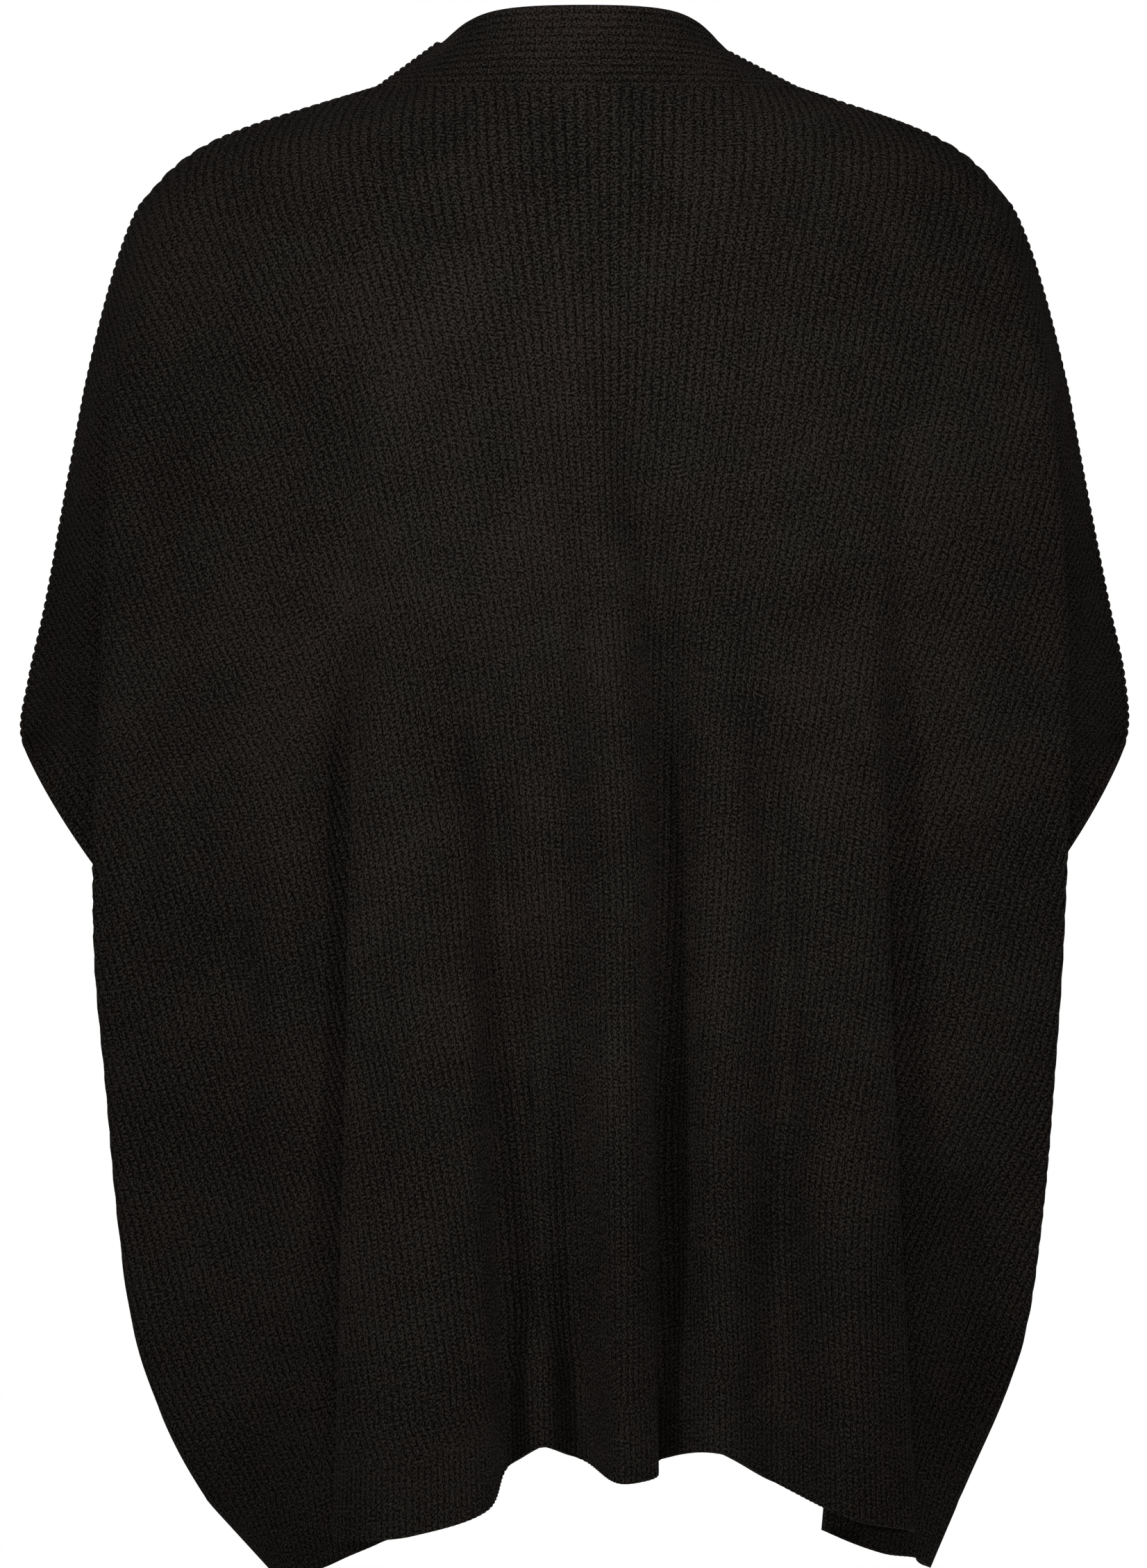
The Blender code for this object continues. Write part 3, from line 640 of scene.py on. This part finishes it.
def creased(grid, creases, face):
    """Raises or sinks the drape along soft lines that fade out at both ends and before the hem seam."""
    normals = normals_of(grid, face)
    offset = np.zeros(grid.shape[:2])
    facing = np.clip(normals[..., 1] * face, 0.0, 1.0)
    for crease in creases:
        points = np.array(crease.points, float)
        across, along = (0, 1) if crease.way == "down" else (1, 0)
        points = points[np.argsort(points[:, along])]
        first, last = points[0, along], points[-1, along]
        place = grid[..., 2 * along]
        reach = np.clip(place, first, last)
        line = spline(points[:, along], points[:, across], reach.ravel()).reshape(reach.shape)
        slope = (points[-1, across] - points[0, across]) / (last - first)
        off = (grid[..., 2 * across] - line) / np.hypot(1.0, slope)
        part = (place - first) / (last - first)
        fade = ease(part / CREASE_FADE) * ease((1.0 - part) / CREASE_FADE)
        offset += crease.height * np.exp(-(np.abs(off / crease.width) ** CREASE_SHAPE)) * fade
    offset *= facing * ease((grid[..., 2] - grid[-1, :, 2]) / CREASE_CLEAR)
    return grid + normals * offset[..., None]


# ---------------------------------------------------------------- meshes


def stitch(fine, coarse, flip):
    """Triangles that join a border of many points to one of few."""
    step = (len(fine) - 1) // (len(coarse) - 1)
    faces = []
    for j in range(len(coarse) - 1):
        part = fine[j * step : j * step + step + 1]
        middle = step // 2
        fan = [(part[i], part[i + 1], coarse[j]) for i in range(middle)]
        fan += [(part[middle], coarse[j + 1], coarse[j])]
        fan += [(part[i], part[i + 1], coarse[j + 1]) for i in range(middle, step)]
        faces += fan
    return [face[::-1] for face in faces] if flip else faces


def grid_faces(ids, flip):
    a, b, c, d = ids[:-1, :-1], ids[1:, :-1], ids[1:, 1:], ids[:-1, 1:]
    order = (a, d, c, b) if flip else (a, b, c, d)
    return [tuple(face) for face in np.stack([part.ravel() for part in order], axis=-1).tolist()]


def coarser(grid):
    return grid[::INNER_ROW_STEP, ::INNER_COLUMN_STEP]


def shell(name, outer, inner, uv, materials, face):
    """A closed sheet: a fine outer grid, a coarser inner one and a rim, with ribs and stitches as UVs."""
    inner = coarser(inner)
    rows, columns = outer.shape[:2]
    outer_ids = np.arange(rows * columns).reshape(rows, columns)
    inner_ids = rows * columns + np.arange(inner.shape[0] * inner.shape[1]).reshape(inner.shape[:2])
    flip = face < 0
    outside = grid_faces(outer_ids, flip)
    inside = grid_faces(inner_ids, not flip)
    rim = stitch(outer_ids[0].tolist(), inner_ids[0].tolist(), flip)
    rim += stitch(outer_ids[-1].tolist(), inner_ids[-1].tolist(), not flip)
    rim += stitch(outer_ids[:, 0].tolist(), inner_ids[:, 0].tolist(), not flip)
    rim += stitch(outer_ids[:, -1].tolist(), inner_ids[:, -1].tolist(), flip)
    points = np.concatenate([outer.reshape(-1, 3), inner.reshape(-1, 3)]) * MM
    uv = np.concatenate([uv.reshape(-1, 2), coarser(uv).reshape(-1, 2)])
    faces = outside + inside + rim
    mesh = bpy.data.meshes.new(name)
    mesh.from_pydata(points.tolist(), [], faces)
    layer = mesh.uv_layers.new(name="knit")
    corner = np.zeros(len(mesh.loops), dtype=np.int32)
    mesh.loops.foreach_get("vertex_index", corner)
    layer.data.foreach_set("uv", uv[corner].astype(np.float32).ravel())
    for material in materials:
        mesh.materials.append(material)
    indices = np.zeros(len(faces), dtype=np.int32)
    indices[len(outside) : len(outside) + len(inside)] = len(materials) - 1
    mesh.polygons.foreach_set("material_index", indices)
    mesh.shade_smooth()
    ends = np.zeros(len(mesh.edges) * 2, dtype=np.int32)
    mesh.edges.foreach_get("vertices", ends)
    ends = ends.reshape(-1, 2)
    sharp = np.zeros(len(ends), dtype=bool)
    for border in (outer_ids[0], outer_ids[-1], inner_ids[0], inner_ids[-1]):
        sharp |= np.isin(ends, border).all(axis=1)
    mesh.edges.foreach_set("use_edge_sharp", sharp)
    mesh.update()
    piece = bpy.data.objects.new(name, mesh)
    bpy.context.scene.collection.objects.link(piece)
    return piece


def seam_facing(line, side):
    """Directions away from the body along a shoulder or side seam, in the plane that faces the front."""
    along = np.gradient(line, axis=0)
    return unit(side * np.stack([-along[:, 2], 0.0 * along[:, 1], along[:, 0]], axis=-1))


def turned_to_seams(grid, normals, sides, seam_rows):
    """Turns the cloth's rim square to the shoulder, arm and side seams, over a short width of cloth."""
    normals = normals.copy()
    top = grid[0]
    for side in sides:
        outer = 0 if side > 0 else -1
        on_shoulder = side * top[:, 0] >= NECK_HALF_WIDTH - 1.0
        columns = np.flatnonzero(on_shoulder)
        line = top[columns] if side < 0 else top[columns[::-1]]
        facing = seam_facing(line, side)
        facing = facing if side < 0 else facing[::-1]
        depth = np.linalg.norm(grid[:, columns] - grid[:1, columns], axis=-1)
        share = (1.0 - ease(depth / SEAM_BLEND))[..., None]
        normals[:, columns] = normals[:, columns] * (1.0 - share) + facing[None] * share
        below = seam_rows[side]
        edge = grid[below:, outer]
        facing = seam_facing(edge, side)
        width = np.linalg.norm(grid[below:] - grid[below:, outer][:, None], axis=-1)
        share = (1.0 - ease(width / SEAM_BLEND))[..., None]
        share *= ease(np.arange(len(edge)) / SEAM_TURN_ROWS)[:, None, None]
        normals[below:] = normals[below:] * (1.0 - share) + facing[:, None] * share
    return unit(normals)


def panel(name, node, folds, sides, face, row_count, creases, materials):
    """One knitted panel of the body, with its ribs."""
    levels, lines, rows = form(folds, sides, face)
    rows = creased(rows, creases, face)
    numbers, seams = rib_numbers(levels, lines, rows, folds, sides)
    grid, ribs, relief, down = rib_grid(levels, rows, numbers, seams, sides, row_count)
    normals = normals_of(grid, face)
    underarm = -YOKE_SIDE - (SIDE_HEM_SEAM - YOKE_SIDE) * UNDERARM_DROP
    seam_rows = {
        side: int(np.argmax(grid[:, 0 if side > 0 else -1, 2] <= underarm)) for side in sides
    }
    turned = turned_to_seams(grid, normals, sides, seam_rows)
    raised = SEAM_RELIEF + (relief[None, :] - SEAM_RELIEF) * ease(down / SEAM_ROW)
    outer = grid + turned * raised[..., None]
    inner = grid - turned * WALL
    for points in (outer, inner):
        points[..., 1] += face * SEAM_GAP / 2
    uv = np.stack(np.broadcast_arrays(ribs[None, :], down / STITCH_LENGTH), axis=-1)
    piece = shell(name, outer, inner, uv, materials, face)
    dress(piece, node)
    return piece, rows, lines


def dress(piece, node):
    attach(piece, "root")
    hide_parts(node)


def hem(name, node, folds, sides, face, lines, upper, materials):
    """The finer rib at the lower edge of a panel, from a tuck under the panel down."""
    lower = hem_curve(folds, sides, HEM_DROP, face, lines)
    length = (lengths(upper) + lengths(lower)) / 2.0
    ribs = int(round(length[-1] / HEM_RIB_PITCH))
    places, relief = ribbed_columns(0, ribs, HEM_RELIEF)
    at = places / ribs * length[-1]
    ends = [along_line(line, length, at) for line in (upper, lower)]
    part = np.linspace(0.0, 1.0, HEM_ROWS)
    part = np.append(-TUCK / HEM_DEPTH, part)[:, None, None]
    grid = ends[0][None] * (1.0 - part) + ends[1][None] * part
    normals = normals_of(grid, face)
    outside = np.repeat(relief[None, :], len(grid), axis=0)
    outside[1] = SEAM_RELIEF
    inside = np.full_like(outside, -WALL)
    outside[0], inside[0] = TUCK_OUTSIDE, TUCK_INSIDE
    outer = grid + normals * outside[..., None]
    inner = grid + normals * inside[..., None]
    for points in (outer, inner):
        points[..., 1] += face * SEAM_GAP / 2
    down = np.linalg.norm(grid - grid[-1:], axis=-1)
    uv = np.stack(np.broadcast_arrays(places[None, :], down / STITCH_LENGTH), axis=-1)
    piece = shell(name, outer, inner, uv, materials, face)
    dress(piece, node)
    return piece


def neck_lean(x):
    """The way the band's width points along the neck seam."""
    reach = min(abs(x) / NECK_HALF_WIDTH, 1.0)
    slope = -NECK_BACK_DEPTH * NECK_ROUNDNESS / NECK_HALF_WIDTH * reach ** (NECK_ROUNDNESS - 1.0)
    inward = unit(np.array([slope * np.sign(x), -1.0, 0.0]))
    shoulder_lean = BAND_LEAN_SHOULDER[1 if x > 0 else -1]
    lean = BAND_LEAN_BACK + (shoulder_lean - BAND_LEAN_BACK) * reach**BAND_LEAN_POWER
    return inward * np.cos(lean) + np.array([0.0, 0.0, np.sin(lean)])


def band(name, node, right_edge, left_edge, materials):
    """The band: up the right front, round the back of the neck and down the left front."""
    neck = top_line(np.linspace(-NECK_HALF_WIDTH, NECK_HALF_WIDTH, NECK_SAMPLES))
    path = np.concatenate([right_edge[:0:-1], neck, left_edge[1:]])
    first, last = len(right_edge) - 1, len(right_edge) - 1 + len(neck) - 1
    length = lengths(path)
    count = int(round(length[-1] / BAND_STEP))
    count += count % 2
    at = np.linspace(0.0, length[-1], count + 1)
    start, end = length[first], length[last]
    along = unit(np.gradient(path, axis=0))
    across = np.zeros_like(path)
    for i, point in enumerate(path):
        if first <= i <= last:
            across[i] = neck_lean(point[0])
            continue
        side = 1 if i > last else -1
        turned = ease(abs(length[i] - (end if side > 0 else start)) / BAND_TURN_LENGTH)
        chest = np.array(BAND_ON_CHEST) * (side, 1, 1)
        across[i] = neck_lean(side * NECK_HALF_WIDTH) * (1.0 - turned) + chest * turned
    across -= along * (across * along).sum(axis=1, keepdims=True)
    seam = along_line(path, length, at)
    across = along_line(unit(across), length, at)
    near = bell(at[:, None] - at[None, :], BAND_SMOOTHING)
    along = unit(near @ np.gradient(seam, axis=0))
    across = near @ across
    across = unit(across - along * (across * along).sum(axis=1, keepdims=True))
    facing = unit(np.cross(across, along))
    places, relief = ribbed_columns(0, BAND_RIBS, BAND_RELIEF)
    relief[0] = TUCK_OUTSIDE
    width = -TUCK + places / BAND_RIBS * (BAND_WIDTH + TUCK)
    grid = seam[:, None] + across[:, None] * width[None, :, None]
    outer = grid + facing[:, None] * relief[None, :, None]
    inner = grid - facing[:, None] * WALL
    uv = np.stack(np.broadcast_arrays(places[None, :], at[:, None] / STITCH_LENGTH), axis=-1)
    piece = shell(name, outer, inner, uv, materials, -1)
    dress(piece, node)
    return piece


# ---------------------------------------------------------------- materials


def node_tools(material):
    """Short ways to add nodes to a material's tree."""
    nodes, links = material.node_tree.nodes, material.node_tree.links

    def add(kind, **values):
        node = nodes.new(kind)
        for key, value in values.items():
            setattr(node, key, value)
        return node

    def put(source, socket):
        if hasattr(source, "links"):
            links.new(source, socket)
        else:
            socket.default_value = source

    def math(operation, first, second=None):
        node = add("ShaderNodeMath", operation=operation)
        put(first, node.inputs[0])
        if second is not None:
            put(second, node.inputs[1])
        return node.outputs[0]

    return add, put, math


def noise(add, put, coordinates, pattern):
    """A noise's value, which varies about a half."""
    node = add("ShaderNodeTexNoise")
    put(coordinates, node.inputs["Vector"])
    node.inputs["Scale"].default_value = pattern.scale
    node.inputs["Detail"].default_value = pattern.detail
    node.inputs["Roughness"].default_value = pattern.roughness
    return node.outputs["Fac"]


def mixed(add, put, share, first, second):
    node = add("ShaderNodeMix", data_type="RGBA", clamp_factor=True)
    put(share, node.inputs["Factor"])
    colours = [socket for socket in node.inputs if socket.type == "RGBA"]
    put(first, colours[0])
    put(second, colours[1])
    return [socket for socket in node.outputs if socket.type == "RGBA"][0]


def knit(name):
    """Brushed rib knit in melange yarn: a chain of slanted stitches on each rib under a haze of fibres."""
    rib_bump, stitch_bump = KNIT_BUMPS[name]
    material = bpy.data.materials.new(name)
    material.use_nodes = True
    shader = material.node_tree.nodes["Principled BSDF"]
    add, put, math = node_tools(material)

    def varied(tone, value, middle, contrast):
        return math("ADD", tone, math("MULTIPLY", math("SUBTRACT", value, middle), contrast))

    # Ribs are counted along U and courses of stitches along V
    uv = add("ShaderNodeUVMap", uv_map="knit")
    split = add("ShaderNodeSeparateXYZ")
    put(uv.outputs[0], split.inputs[0])
    place = add("ShaderNodeTexCoord").outputs["Object"]
    across = math("FRACT", split.outputs["X"])
    from_crest = math("MULTIPLY", math("ABSOLUTE", math("SUBTRACT", across, 0.5)), 2.0)
    drift = math("MULTIPLY", noise(add, put, place, COURSE_DRIFT), DRIFT_IN_COURSE)
    slant = math("MULTIPLY", from_crest, SLANT_IN_COURSE)
    course = math("FRACT", math("ADD", math("SUBTRACT", split.outputs["Y"], slant), drift))
    off_middle = math("SUBTRACT", math("MULTIPLY", course, 2.0), 1.0)
    loop = math("SUBTRACT", 1.0, math("POWER", math("ABSOLUTE", off_middle), LOOP_ROUNDNESS))
    crest = math("SUBTRACT", 1.0, math("POWER", from_crest, 2.0))
    stitches = math("MULTIPLY", loop, crest)
    on_cloth = add("ShaderNodeCombineXYZ")
    put(math("MULTIPLY", split.outputs["X"], RIB_IN_GRAIN), on_cloth.inputs[0])
    put(math("MULTIPLY", split.outputs["Y"], STITCH_IN_GRAIN), on_cloth.inputs[1])
    grain = noise(add, put, on_cloth.outputs[0], GRAIN)
    fibres = noise(add, put, place, FIBRES)

    height = math("ADD", math("MULTIPLY", stitches, stitch_bump), math("MULTIPLY", grain, GRAIN_BUMP))
    height = math("ADD", height, math("MULTIPLY", fibres, FIBRE_BUMP))
    if rib_bump:
        height = math("ADD", height, math("MULTIPLY", crest, rib_bump))
    bump = add("ShaderNodeBump")
    bump.inputs["Strength"].default_value = BUMP_STRENGTH
    bump.inputs["Distance"].default_value = BUMP_DISTANCE
    put(height, bump.inputs["Height"])
    put(bump.outputs[0], shader.inputs["Normal"])

    tone = math("MULTIPLY", math("SUBTRACT", grain, 0.5), GRAIN_CONTRAST)
    tone = varied(tone, fibres, 0.5, FIBRE_CONTRAST)
    tone = varied(tone, stitches, STITCH_MIDDLE, STITCH_CONTRAST)
    # Painted shade: the colour darkens towards each rib's valley, where shade falls between the ribs
    tone = math("SUBTRACT", tone, math("MULTIPLY", math("POWER", from_crest, VALLEY_PAINTED_SHADE_STEEPNESS), VALLEY_PAINTED_SHADE))
    tone = varied(tone, noise(add, put, place, MOTTLE), 0.5, MOTTLE_CONTRAST)
    tone = varied(tone, noise(add, put, place, PATCHES), 0.5, PATCH_CONTRAST)
    tone = math("ADD", tone, GRAIN_MIDDLE)
    hue = varied(HUE_MIDDLE, noise(add, put, place, HUE), 0.5, HUE_CONTRAST)
    light = mixed(add, put, hue, YARN_GREY, YARN_BROWN)
    put(mixed(add, put, tone, YARN_DARK, light), shader.inputs["Base Color"])
    shader.inputs["Roughness"].default_value = YARN_ROUGHNESS
    shader.inputs["Specular IOR Level"].default_value = YARN_SPECULAR
    return material


def floor_paint():
    material = bpy.data.materials.new("floor_paint")
    material.use_nodes = True
    shader = material.node_tree.nodes["Principled BSDF"]
    shader.inputs["Base Color"].default_value = FLOOR_COLOUR
    shader.inputs["Roughness"].default_value = FLOOR_ROUGHNESS
    shader.inputs["Emission Color"].default_value = WHITE
    shader.inputs["Emission Strength"].default_value = FLOOR_GLOW
    return material


# ---------------------------------------------------------------- studio


def lamp(data, name, place, target, power):
    """Hangs a light up at a place, turned to its target."""
    data.energy = power
    light = bpy.data.objects.new(name, data)
    light.location = place
    light.rotation_euler = (Vector(target) - Vector(place)).to_track_quat("-Z", "Y").to_euler()
    bpy.context.scene.collection.objects.link(light)
    return light


def lights():
    """Soft lamps whose light fades evenly from the middle of each cone, and two wide panels of light."""
    for spot in SPOTS:
        data = bpy.data.lights.new(spot.name, "SPOT")
        data.spot_size = np.radians(spot.cone)
        data.spot_blend = 1.0
        data.shadow_soft_size = spot.radius
        lamp(data, spot.name, spot.place, spot.target, spot.power).scale = spot.stretch
    for light_panel in LIGHT_PANELS:
        data = bpy.data.lights.new(light_panel.name, "AREA")
        data.shape = "RECTANGLE"
        data.size = data.size_y = light_panel.size
        lamp(data, light_panel.name, light_panel.place, light_panel.target, light_panel.power)


def photo_camera():
    scene = bpy.context.scene
    data = bpy.data.cameras.new("photo_camera")
    data.sensor_fit = "VERTICAL"
    data.sensor_height = SENSOR_HEIGHT
    data.lens = SENSOR_HEIGHT * CAMERA_DISTANCE / FRAME_HEIGHT
    camera = bpy.data.objects.new("photo_camera", data)
    camera.location = (CAMERA_X, CAMERA_DISTANCE, CAMERA_Z)
    camera.rotation_euler = (np.pi / 2, 0.0, np.pi)
    scene.collection.objects.link(camera)
    scene.camera = camera


def surround():
    """A white surround, the same from every side, that lights the cloth most from behind and in front."""
    world = bpy.data.worlds.new("studio")
    world.use_nodes = True
    nodes, links = world.node_tree.nodes, world.node_tree.links
    direction = nodes.new("ShaderNodeTexCoord")
    parts = nodes.new("ShaderNodeSeparateXYZ")
    links.new(direction.outputs["Generated"], parts.inputs[0])
    level = nodes.new("ShaderNodeMath")
    level.operation = "ABSOLUTE"
    links.new(parts.outputs["Y"], level.inputs[0])
    fade = nodes.new("ShaderNodeMapRange")
    fade.interpolation_type = "SMOOTHSTEP"
    fade.inputs["From Min"].default_value, fade.inputs["From Max"].default_value = WALLS_START
    fade.inputs["To Min"].default_value = SIDES_LIGHT
    fade.inputs["To Max"].default_value = WALLS_LIGHT
    links.new(level.outputs[0], fade.inputs["Value"])
    seen = nodes.new("ShaderNodeLightPath")
    strength = nodes.new("ShaderNodeMath")
    strength.operation = "MAXIMUM"
    links.new(fade.outputs[0], strength.inputs[0])
    links.new(seen.outputs["Is Camera Ray"], strength.inputs[1])
    links.new(strength.outputs[0], nodes["Background"].inputs["Strength"])
    nodes["Background"].inputs["Color"].default_value = WHITE
    bpy.context.scene.world = world
    bpy.context.scene.view_settings.view_transform = "Standard"


def pale_floor():
    mesh = bpy.data.meshes.new("floor")
    corners = [(x * FLOOR_HALF, y * FLOOR_HALF, FLOOR_Z) for x, y in ((-1, -1), (1, -1), (1, 1), (-1, 1))]
    mesh.from_pydata(corners, [], [(0, 1, 2, 3)])
    mesh.materials.append(floor_paint())
    floor = bpy.data.objects.new("floor", mesh)
    floor.visible_diffuse = False
    bpy.context.scene.collection.objects.link(floor)


def main():
    body, hem_yarn, band_yarn = (
        [knit(name), knit(name + "_inside")] for name in ("body_knit", "hem_knit", "band_knit")
    )

    back, rows, lines = panel("back_panel", "back", BACK_FOLDS, (1, -1), 1, BACK_ROWS, BACK_CREASES, body)
    hem_back = hem("hem_back", "hem_rib_back", BACK_FOLDS, (1, -1), 1, lines, rows[-1], hem_yarn)
    edges = {}
    for side, word in ((1, "left"), (-1, "right")):
        folds = FRONT_FOLDS[side] if side > 0 else FRONT_FOLDS[side][::-1]
        front, rows, lines = panel(
            "front_panel_" + word, "front_" + word, folds, (side,), -1, FRONT_ROWS, FRONT_CREASES, body
        )
        piece = hem("hem_" + word, "hem_rib_" + word, folds, (side,), -1, lines, rows[-1], hem_yarn)
        inner = -1 if side > 0 else 0
        hem_end = hem_curve(folds, (side,), HEM_DROP, -1, lines)[inner]
        edges[side] = np.concatenate([rows[:, inner], [hem_end]])
    band_piece = band("neck_band", "band", edges[-1], edges[1], band_yarn)

    photo_camera()
    surround()
    pale_floor()
    lights()


main()
